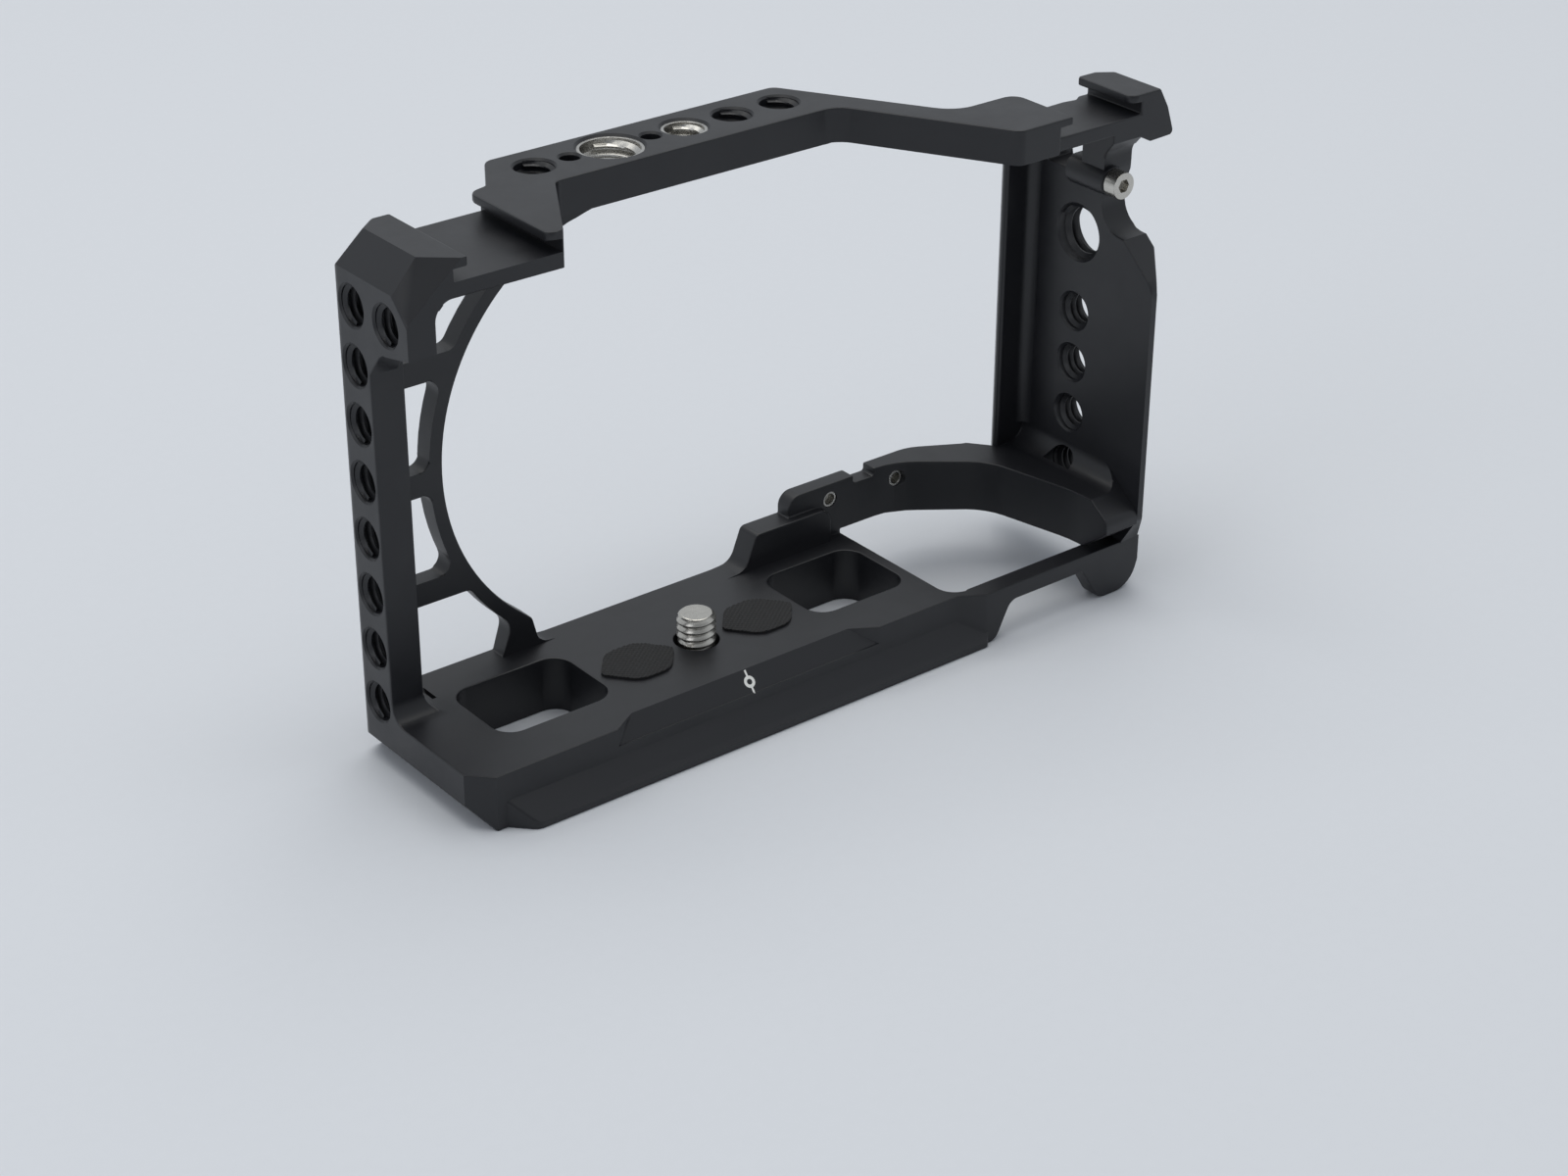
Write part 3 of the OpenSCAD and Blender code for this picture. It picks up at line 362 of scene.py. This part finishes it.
def joined(pieces, name):
    activate(pieces[0])
    for piece in pieces:
        piece.select_set(True)
    if len(pieces) > 1:
        bpy.ops.object.join()
    pieces[0].name = name
    return pieces[0]


def stand_for(piece, body, slot, material, *nodes):
    """Gives a finished piece its material and its body, and hides the CAD nodes it stands for."""
    piece.data.materials.clear()
    piece.data.materials.append(material)
    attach(piece, body)
    if nodes:
        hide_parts(*nodes)


# Finishes


def add(tree, kind, inputs=(), **settings):
    """Adds a shader node, sets what it is given, and fills or links its inputs."""
    node = tree.nodes.new("ShaderNode" + kind)
    for name, value in settings.items():
        setattr(node, name, value)
    for name, value in dict(inputs).items():
        if isinstance(value, bpy.types.NodeSocket):
            tree.links.new(value, node.inputs[name])
        else:
            node.inputs[name].default_value = value
    return node


def new_finish(name):
    """An empty material, its node tree and its object coordinates in metres."""
    material = bpy.data.materials.new(name)
    material.use_nodes = True
    tree = material.node_tree
    tree.nodes.clear()
    return material, tree, add(tree, "TexCoord").outputs["Object"]


def output(tree, shader):
    add(tree, "OutputMaterial", {"Surface": shader.outputs[0]})


def per_metre(millimetres):
    """Texture scale that repeats a pattern every so many millimetres."""
    return 1.0 / (millimetres * MM)


def noise(tree, place, millimetres, detail=2.0, roughness=0.5):
    return add(tree, "TexNoise", {"Vector": place, "Scale": per_metre(millimetres),
                                  "Detail": detail, "Roughness": roughness}).outputs["Fac"]


def remap(tree, value, low, high, start=0.0, end=1.0):
    """Carries a pattern from one range to another."""
    return add(tree, "MapRange", {"Value": value, "From Min": start, "From Max": end,
                                  "To Min": low, "To Max": high}).outputs["Result"]


def blend_colours(tree, share, first, second):
    node = add(tree, "Mix", data_type="RGBA")
    tree.links.new(share, node.inputs[0])
    for socket, value in ((node.inputs[6], first), (node.inputs[7], second)):
        if isinstance(value, bpy.types.NodeSocket):
            tree.links.new(value, socket)
        else:
            socket.default_value = (*value, 1.0)
    return node.outputs[2]


def scaled(rgb, factor):
    return tuple(min(1.0, channel * factor) for channel in rgb)


def dust_specks(tree, place, spacing, size, share):
    """1 on a few tiny specks scattered over the surface."""
    cells = add(tree, "TexVoronoi", {"Vector": place, "Scale": per_metre(spacing),
                                     "Randomness": 1.0})
    near = remap(tree, cells.outputs["Distance"], 1.0, 0.0, 0.5 * size / spacing, size / spacing)
    picked = add(tree, "SeparateColor", {"Color": cells.outputs["Color"]}).outputs["Red"]
    chosen = add(tree, "Math", {0: picked, 1: 1.0 - share}, operation="GREATER_THAN").outputs[0]
    return add(tree, "Math", {0: near, 1: chosen}, operation="MULTIPLY").outputs[0]


def anodised_aluminium():
    """Blasted and black anodised aluminium.

    It gives the eye a deep satin black with a fine even grain, tones that drift a little from
    place to place, and a few grey specks of dust.
    """
    black = tuple(finish().anodise)
    material, tree, place = new_finish("satin_black_anodised_aluminium")
    clouds = noise(tree, place, 9.0, 4.0, 0.6)
    grain = noise(tree, place, 0.22, 2.0)      # drawn coarser than the real 0.05 mm grit
    specks = dust_specks(tree, place, 6.0, 0.11, 0.1)
    body = blend_colours(tree, clouds, scaled(black, 0.88), scaled(black, 1.18))
    dusty = blend_colours(tree, specks, body, linear("#8d9095"))
    rough = finish().anodise_roughness
    uneven = remap(tree, clouds, rough - 0.05, rough + 0.06, 0.3, 0.7)
    bump = add(tree, "Bump", {"Height": grain, "Strength": 0.16, "Distance": 0.02 * MM})
    output(tree, add(tree, "BsdfPrincipled", {
        "Base Color": dusty, "Roughness": uneven, "IOR": 1.5, "Normal": bump.outputs[0]}))
    return material


def turned_steel(name, rgb, roughness, groove):
    """Turned steel, bright or blackened: tones that vary softly, and fine uneven tool marks."""
    material, tree, place = new_finish(name)
    tone = noise(tree, place, 1.6, 3.0)
    grooves = noise(tree, place, groove, 3.0, 0.7)
    body = blend_colours(tree, tone, scaled(rgb, 0.8), scaled(rgb, 1.05))
    bump = add(tree, "Bump", {"Height": grooves, "Strength": 0.22, "Distance": 0.02 * MM})
    output(tree, add(tree, "BsdfPrincipled", {
        "Base Color": body, "Metallic": 1.0, "Normal": bump.outputs[0],
        "Roughness": remap(tree, grooves, roughness - 0.07, roughness + 0.1)}))
    return material


def moulded_rubber():
    """Moulded rubber: dull patchy black with a fine matt skin and a few specks of dust."""
    black = tuple(finish().rubber)
    material, tree, place = new_finish("moulded_black_rubber")
    skin = noise(tree, place, 0.25, 3.0, 0.65)
    patches = noise(tree, place, 3.0, 2.0)
    dust = dust_specks(tree, place, 2.6, 0.12, 0.12)
    body = blend_colours(tree, patches, scaled(black, 0.8), scaled(black, 1.5))
    dusty = blend_colours(tree, dust, body, linear("#6f7072"))
    bump = add(tree, "Bump", {"Height": skin, "Strength": 0.35, "Distance": 0.04 * MM})
    output(tree, add(tree, "BsdfPrincipled", {
        "Base Color": dusty, "Roughness": remap(tree, skin, 0.62, 0.82), "IOR": 1.5,
        "Normal": bump.outputs[0]}))
    return material


def plain_plastic(name, rgb, roughness, grain):
    """Paint or nylon: one even colour with a faint skin."""
    material, tree, place = new_finish(name)
    skin = noise(tree, place, grain, 3.0)
    body = blend_colours(tree, skin, scaled(rgb, 0.93), rgb)
    bump = add(tree, "Bump", {"Height": skin, "Strength": 0.15, "Distance": 0.02 * MM})
    output(tree, add(tree, "BsdfPrincipled", {
        "Base Color": body, "Roughness": remap(tree, skin, roughness, roughness + 0.1),
        "IOR": 1.48, "Normal": bump.outputs[0]}))
    return material


# Threads


def helix(bore, crest, pitch, span, name):
    """A closed V-shaped ridge that winds up the z axis from 0, with its crest towards the axis."""
    bite = 0.06 * MM
    turns = span / pitch - RIDGE_BASE
    middle_z = RIDGE_BASE * pitch / 2
    deselect()
    bpy.ops.mesh.primitive_plane_add(size=1.0, rotation=(math.radians(90), 0, 0))
    ridge = bpy.context.object
    ridge.name = name
    deep = bore + bite - crest
    set_place(ridge, Matrix.Translation((crest + deep / 2, 0, middle_z))
              @ Matrix.Diagonal((deep, 1, RIDGE_BASE * pitch, 1)))
    edit(ridge)
    bpy.ops.mesh.select_all(action="DESELECT")
    bpy.ops.object.mode_set(mode="OBJECT")
    middle = crest + deep / 2
    for vertex in ridge.data.vertices:
        vertex.select = vertex.co.x < middle
    bpy.ops.object.mode_set(mode="EDIT")
    bpy.ops.transform.resize(value=(1, 1, RIDGE_CREST), center_override=(crest, 0, middle_z))
    bpy.ops.object.mode_set(mode="OBJECT")
    steps = math.ceil(sizes().turns_smooth * turns)
    modify(ridge, "SCREW", axis="Z", angle=math.tau * turns, screw_offset=pitch * turns,
           iterations=1, steps=steps, render_steps=steps, use_normal_calculate=True)
    edit(ridge)
    bpy.ops.mesh.select_all(action="DESELECT")
    bpy.ops.mesh.select_non_manifold()
    bpy.ops.mesh.fill_holes(sides=0)
    bpy.ops.mesh.select_all(action="SELECT")
    bpy.ops.mesh.normals_make_consistent(inside=False)
    bpy.ops.object.mode_set(mode="OBJECT")
    fade_ends(ridge, bore, pitch, turns)
    return ridge


def fade_ends(ridge, bore, pitch, turns):
    """Lets the crest run out into the wall over the first and last eighth of a turn."""
    for vertex in ridge.data.vertices:
        radius = Vector(vertex.co.xy).length
        if radius < bore:
            turn = vertex.co.z / pitch - RIDGE_BASE / 2
            share = min(1.0, max(0.05, 8 * min(turn, turns - turn) + 0.1))
            vertex.co.xy *= (bore - (bore - radius) * share) / radius


def along(axis):
    """The turn that carries +z to an axis."""
    return Vector((0, 0, 1)).rotation_difference(Vector(axis)).to_matrix().to_4x4()


def hole_places(mount):
    """Mouths of the holes of a two-hole pattern in the record."""
    middle, axis, dims = Vector(mount["pos_m"]), Vector(mount["axis"]), mount["dims"]
    across = [i for i in range(3) if abs(axis[i]) < 0.5]
    step = Vector((0, 0, 0))
    step[across[0]] = dims.get("spacing_x_mm", 0.0) * MM / 2
    step[across[1]] = dims.get("spacing_y_mm", 0.0) * MM / 2
    return [middle - step, middle + step]


def thread_in(place, axis, radius, pitch, wall, name):
    """The thread of one tapped hole, from just inside its mouth to just before its far end."""
    mouth = sizes().mouth
    depth = sizes().thread_depth * pitch / sizes().quarter_pitch
    ridge = helix(radius, radius - depth, pitch, wall - mouth, name)
    inward = -Vector(axis)
    set_place(ridge, Matrix.Translation(Vector(place) + inward * mouth / 2) @ along(inward))
    return ridge


def tapped_group(name, holes):
    """One piece with the threads of some holes, given as mouth, axis, radius, pitch and wall."""
    ridges = [thread_in(*hole, f"{name}_{i}") for i, hole in enumerate(holes)]
    group = joined(ridges, name)
    shade(group, 40.0)
    return group


def quarter_holes(prefix, wall):
    """The quarter inch holes of all the record's patterns whose names start alike, each once."""
    found = {}
    for name, mount in MOUNTS.items():
        if name.startswith(prefix):
            for place in hole_places(mount):
                key = tuple(round(x, 5) for x in place)
                radius = mount["dims"]["hole_r_mm"] * MM
                found[key] = (place, mount["axis"], radius, sizes().quarter_pitch, wall)
    return list(found.values())


def big_hole(name):
    """A three eighths hole of the record, by its mouth."""
    mount = MOUNTS[name]
    wall = mount["dims"]["length_mm"] * MM + 2 * sizes().mouth
    mouth = Vector(mount["pos_m"]) + Vector(mount["axis"]) * wall / 2
    return (mouth, mount["axis"], mount["dims"]["r_mm"] * MM, sizes().big_pitch, wall)


# Pieces


class CAGE_OT_frame(Operator):
    """Merge the sections of the frame and round its milled edges"""

    bl_idname = "cage.frame"
    bl_label = "Milled frame"

    def execute(self, context):
        shell = merged_copy(FRAME_SECTIONS[0], "milled_frame")
        for node in FRAME_SECTIONS[1:]:
            combine(shell, merged_copy(node, "section"), "UNION")
        edit(shell)
        bpy.ops.mesh.remove_doubles(threshold=0.002 * MM)
        dissolve_flat()
        round_edges(shell, sizes().edge, fine=("centre_mark", "loop_inserts"))
        stand_for(shell, "frame", "anodised", anodised_aluminium(), *FRAME_SECTIONS)
        return {"FINISHED"}


class CAGE_OT_threads(Operator):
    """Cut the threads of the post, the corner block, the bridge and the side plate"""

    bl_idname = "cage.threads"
    bl_label = "Tapped threads"

    def execute(self, context):
        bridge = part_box("top_bridge")
        bridge_wall = bridge[1].z - bridge[0].z
        insert_x = sum(c.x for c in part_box("quarter_thread_insert")) / 2
        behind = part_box("left_post")[0].y
        post_holes = []
        for hole in quarter_holes("post_threads", sizes().post_wall):
            wall = hole[4] if hole[0].y > behind else sizes().boss_wall
            post_holes.append((*hole[:4], wall))
        bridge_holes = [hole for hole in quarter_holes("bridge_threads", bridge_wall)
                        if abs(hole[0].x - insert_x) > MM]
        side_holes = quarter_holes("side_threads", sizes().plate_wall)
        side_holes.append(big_hole("side_big_thread"))
        black = bpy.data.materials["satin_black_anodised_aluminium"]
        for name, holes in (("post_thread_ridges", post_holes),
                            ("bridge_thread_ridges", bridge_holes),
                            ("side_thread_ridges", side_holes)):
            stand_for(tapped_group(name, holes), "frame", "anodised", black)
        return {"FINISHED"}


class CAGE_OT_inserts(Operator):
    """Make the bright steel thread inserts of the bridge"""

    bl_idname = "cage.inserts"
    bl_label = "Thread inserts"

    def execute(self, context):
        bright = turned_steel("bright_steel_thread", tuple(finish().thread), 0.26, 0.3)
        mouth = MOUNTS["bridge_big_thread"]
        for node, radius, pitch in (
                ("big_thread_insert", mouth["dims"]["r_mm"] * MM, sizes().big_pitch),
                ("quarter_thread_insert",
                 MOUNTS["bridge_threads_wide"]["dims"]["hole_r_mm"] * MM, sizes().quarter_pitch)):
            low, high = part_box(node)
            sleeve = merged_copy(node, node + "_sleeve")
            round_edges(sleeve, sizes().small_edge)
            top = Vector(((low.x + high.x) / 2, (low.y + high.y) / 2, high.z))
            ridge = thread_in(top, (0, 0, 1), radius, pitch, high.z - low.z, node + "_ridge")
            shade(ridge, 40.0)
            stand_for(joined([sleeve, ridge], node + "_steel"), "frame", "bright_thread", bright,
                      node)
        return {"FINISHED"}


class CAGE_OT_camera_screw(Operator):
    """Cut the thread on the camera screw"""

    bl_idname = "cage.camera_screw"
    bl_label = "Camera screw"

    def execute(self, context):
        low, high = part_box("camera_screw")
        radius = MOUNTS["camera_screw_tip"]["dims"]["r_mm"] * MM
        pitch = sizes().quarter_pitch
        screw = merged_copy("camera_screw", "camera_screw_steel")
        round_edges(screw, sizes().small_edge, sharpest=40.0)
        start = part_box("screw_washer")[1].z + pitch / 2
        groove = helix(radius + 0.1 * MM, sizes().screw_root, pitch,
                       high.z + 2 * pitch - start, "groove")
        set_place(groove, Matrix.Translation((0, 0, start)))
        combine(screw, groove, "DIFFERENCE")
        shade(screw, 40.0)
        steel = turned_steel("turned_stainless_steel", tuple(finish().steel), 0.27, 0.35)
        stand_for(screw, "screw", "screw_steel", steel, "camera_screw")
        return {"FINISHED"}


class CAGE_OT_small_parts(Operator):
    """Finish the washer, the snap ring, the bushes, the eyelet screw and the centre mark"""

    bl_idname = "cage.small_parts"
    bl_label = "Small parts"

    def execute(self, context):
        steel = turned_steel("small_screw_steel", tuple(finish().steel), 0.24, 0.3)
        rows = (
            ("screw_washer", "washer", "nylon",
             plain_plastic("natural_nylon", tuple(finish().nylon), 0.5, 0.6)),
            ("snap_ring", "frame", "spring_steel",
             turned_steel("oil_blackened_steel", tuple(finish().spring), 0.38, 0.5)),
            ("loop_inserts", "frame", "bright_thread", bpy.data.materials["bright_steel_thread"]),
            ("eyelet_screw", "eyelet_fastener", "small_screw_steel", steel),
        )
        for node, body, slot, material in rows:
            piece = merged_copy(node, node + "_finished")
            round_edges(piece, sizes().small_edge)
            stand_for(piece, body, slot, material, node)
        paint = plain_plastic("white_paint_fill", tuple(finish().paint), 0.45, 0.4)
        NODES["centre_mark"].data.materials.clear()
        NODES["centre_mark"].data.materials.append(paint)
        return {"FINISHED"}


class CAGE_OT_pads(Operator):
    """Mould the diamond pattern in the two rubber pads"""

    bl_idname = "cage.pads"
    bl_label = "Rubber pads"

    def execute(self, context):
        rubber = moulded_rubber()
        for node in ("rubber_pad_left", "rubber_pad_right"):
            low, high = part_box(node)
            outline = merged_copy(node, node + "_moulded")
            relief = pattern_block(low, high)
            combine(outline, relief, "INTERSECT")
            shade(outline, 60.0)
            stand_for(outline, "frame", "rubber", rubber, node)
        return {"FINISHED"}


def pattern_block(low, high):
    """A block over a pad whose top has crossing grooves, as a mould leaves them."""
    cell, relief = sizes().pad_cell, sizes().pad_relief
    margin = 0.4 * MM
    wide, deep = high.x - low.x + 2 * margin, high.y - low.y + 2 * margin
    deselect()
    bpy.ops.mesh.primitive_grid_add(x_subdivisions=round(wide / (0.16 * MM)),
                                    y_subdivisions=round(deep / (0.16 * MM)), size=1.0)
    block = bpy.context.object
    middle = (low + high) / 2
    set_place(block, Matrix.Translation((middle.x, middle.y, high.z))
              @ Matrix.Diagonal((wide, deep, 1, 1)))
    for vertex in block.data.vertices:
        across = (vertex.co.x + 1.35 * vertex.co.y) / cell
        down = (vertex.co.x - 1.35 * vertex.co.y) / cell
        ridge = abs(math.sin(math.pi * across)) * abs(math.sin(math.pi * down))
        ripple = 0.25 * math.sin(3.1 * across + 1.7 * math.sin(2.3 * down))
        vertex.co.z -= relief * (1.0 - min(1.0, 1.25 * ridge + ripple * ridge))
    edit(block)
    depth = high.z - low.z + relief
    bpy.ops.mesh.extrude_region_move(TRANSFORM_OT_translate={"value": (0, 0, -depth)})
    bpy.ops.transform.resize(value=(1, 1, 0), center_override=(0, 0, low.z - margin))
    bpy.ops.mesh.select_all(action="SELECT")
    bpy.ops.mesh.normals_make_consistent(inside=False)
    bpy.ops.object.mode_set(mode="OBJECT")
    return block


# Studio


def look_from():
    """The camera's turn: its right, its up and its back as the columns of a matrix."""
    flat = math.cos(CAMERA_ELEVATION)
    back = Vector((math.sin(CAMERA_AZIMUTH) * flat, -math.cos(CAMERA_AZIMUTH) * flat,
                   math.sin(CAMERA_ELEVATION)))
    right = Vector((math.cos(CAMERA_AZIMUTH), math.sin(CAMERA_AZIMUTH), 0))
    up = back.cross(right)
    turn = Matrix.Rotation(CAMERA_ROLL, 3, back)
    return Matrix((turn @ right, turn @ up, back)).transposed().to_4x4()


def area_light(name, place, target, size, power, tint):
    """A soft square lamp at a place, aimed at a target."""
    deselect()
    bpy.ops.object.light_add(type="AREA", location=place)
    lamp = bpy.context.object
    lamp.name = name
    lamp.data.shape = "SQUARE"
    lamp.data.size = size
    lamp.data.energy = power
    lamp.data.color = tint
    aim = Vector(place) - Vector(target)
    lamp.rotation_euler = aim.to_track_quat("Z", "Y").to_euler()
    return lamp


def soft_room(studio):
    """The room's even light, which falls off towards the dark side behind the camera."""
    world = bpy.data.worlds.new("soft_room")
    world.use_nodes = True
    tree = world.node_tree
    room = tree.nodes["Background"]
    towards = add(tree, "TexCoord").outputs["Generated"]
    behind = look_from().to_3x3() @ Vector((0, -0.5, 1)).normalized()
    share = add(tree, "VectorMath", {0: towards, 1: behind}, operation="DOT_PRODUCT")
    level = add(tree, "MapRange", {
        "Value": share.outputs["Value"], "From Min": 0.0, "From Max": 0.9,
        "To Min": studio.room_light, "To Max": studio.room_light * studio.dark_side,
    }, interpolation_type="SMOOTHSTEP").outputs["Result"]
    room.inputs["Color"].default_value = (*studio.sky, 1.0)
    tree.links.new(level, room.inputs["Strength"])
    return world


class CAGE_OT_studio(Operator):
    """Set up the pale floor, the soft light and the camera"""

    bl_idname = "cage.studio"
    bl_label = "Studio"

    def execute(self, context):
        scene, studio = context.scene, context.scene.cage_studio
        deselect()
        bpy.ops.mesh.primitive_plane_add(size=8.0, location=(0, 0, CAD_BOX[0].z))
        floor = context.object
        floor.name = "studio_floor"
        set_place(floor, Matrix.Identity(4))
        material, tree, place = new_finish("matt_floor_paper")
        paper = noise(tree, place, 2.0, 3.0)
        pale = tuple(studio.floor)
        output(tree, add(tree, "BsdfPrincipled", {
            "Base Color": blend_colours(tree, paper, scaled(pale, 0.98), pale),
            "Roughness": 0.9, "IOR": 1.3}))
        floor.data.materials.append(material)
        centre = (CAD_BOX[0] + CAD_BOX[1]) / 2
        area_light("overhead_softbox", (0.1, 0.25, 1.25), centre, 1.3, studio.softbox_power,
                   linear("#fffdf8"))
        area_light("left_panel", (-1.2, -0.1, 0.6), centre, 0.8, studio.fill_power,
                   linear("#f6f9ff"))
        scene.world = soft_room(studio)
        bpy.ops.object.camera_add(location=CAMERA_PLACE)
        camera = context.object
        camera.matrix_world = Matrix.Translation(CAMERA_PLACE) @ look_from()
        camera.data.sensor_width = SENSOR_WIDTH
        camera.data.lens = CAMERA_LENS
        camera.data.clip_start = 0.01
        scene.camera = camera
        scene.view_settings.view_transform = "Standard"
        return {"FINISHED"}


class CAGE_PT_panel(Panel):
    """Lists the cage's pieces and their sizes"""

    bl_label = "Camera Cage"
    bl_space_type = "VIEW_3D"
    bl_region_type = "UI"
    bl_category = "Camera Cage"

    def draw(self, context):
        layout = self.layout
        for operator in OPERATORS:
            layout.operator(operator.bl_idname)
        for group in (context.scene.cage_sizes, context.scene.cage_finish,
                      context.scene.cage_studio):
            column = layout.column(align=True)
            for name in type(group).__annotations__:
                column.prop(group, name)


GROUPS = (CageSizes, CageFinish, CageStudio)
OPERATORS = (CAGE_OT_studio, CAGE_OT_frame, CAGE_OT_threads, CAGE_OT_inserts,
             CAGE_OT_camera_screw, CAGE_OT_small_parts, CAGE_OT_pads)


def register():
    for cls in (*GROUPS, *OPERATORS, CAGE_PT_panel):
        bpy.utils.register_class(cls)
    bpy.types.Scene.cage_sizes = PointerProperty(type=CageSizes)
    bpy.types.Scene.cage_finish = PointerProperty(type=CageFinish)
    bpy.types.Scene.cage_studio = PointerProperty(type=CageStudio)


def unregister():
    del bpy.types.Scene.cage_studio
    del bpy.types.Scene.cage_finish
    del bpy.types.Scene.cage_sizes
    for cls in reversed((*GROUPS, *OPERATORS, CAGE_PT_panel)):
        bpy.utils.unregister_class(cls)


def main():
    """Makes the studio and the pieces in order."""
    register()
    bpy.ops.cage.studio()
    bpy.ops.cage.frame()
    bpy.ops.cage.threads()
    bpy.ops.cage.inserts()
    bpy.ops.cage.camera_screw()
    bpy.ops.cage.small_parts()
    bpy.ops.cage.pads()


if __name__ == "__main__":
    main()
